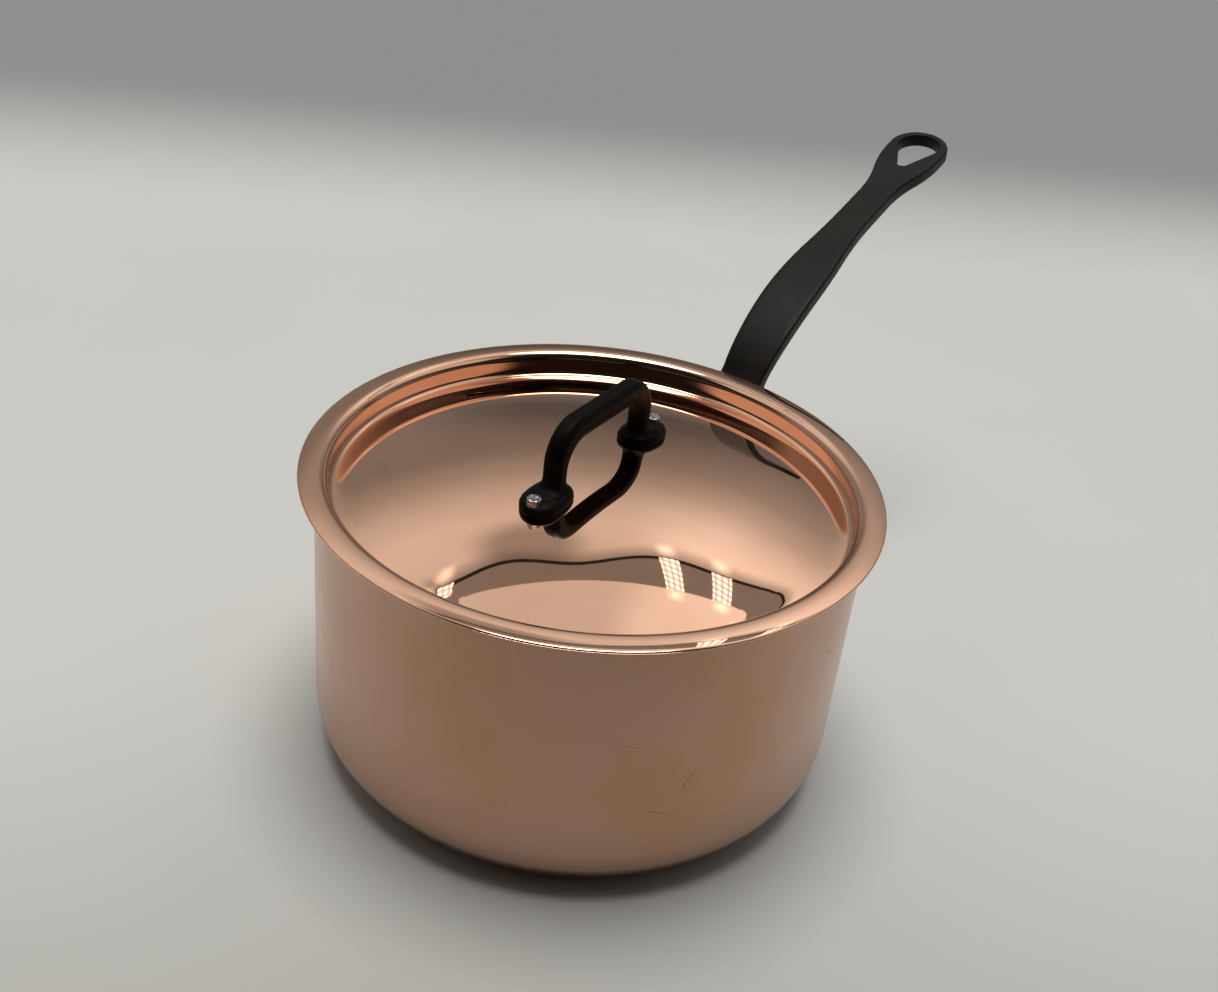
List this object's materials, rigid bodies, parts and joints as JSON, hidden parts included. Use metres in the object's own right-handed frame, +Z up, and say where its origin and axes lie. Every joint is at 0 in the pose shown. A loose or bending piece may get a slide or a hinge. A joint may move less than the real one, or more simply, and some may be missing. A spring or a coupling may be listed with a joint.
{
  "type": "lidded copper saucepan",
  "caption": "Straight-sided copper saucepan with a steel lining, a long cast-iron handle with a hanging hole, and a domed copper lid with a cast-iron loop handle.",
  "frame": {"origin": "centre of the pan's flat base, on the surface it stands on", "axes": "+Z up along the pan's axis, +X along the long handle, and the lid's loop handle lies along X too"},
  "size_m": [0.3676, 0.1956, 0.1653],
  "materials": {
    "copper": "polished",
    "steel_lining": "satin",
    "cast_iron": "satin",
    "rivet_steel": "matte"
  },
  "bodies": {
    "pan": {"pan_shell": "copper", "pan_lining": "steel_lining", "long_handle": "cast_iron", "handle_rivet_1": "rivet_steel", "handle_rivet_2": "rivet_steel", "handle_rivet_3": "rivet_steel"},
    "lid": {"lid_shell": "copper", "lid_lining": "steel_lining", "lid_handle": "cast_iron", "lid_rivet_1": "rivet_steel", "lid_rivet_2": "rivet_steel"}
  },
  "joints": [
    {"name": "lid_lift", "type": "slide", "parent": "pan", "child": "lid", "axis": [0, 0, 1], "range_m": [0, 0.12]}
  ]
}
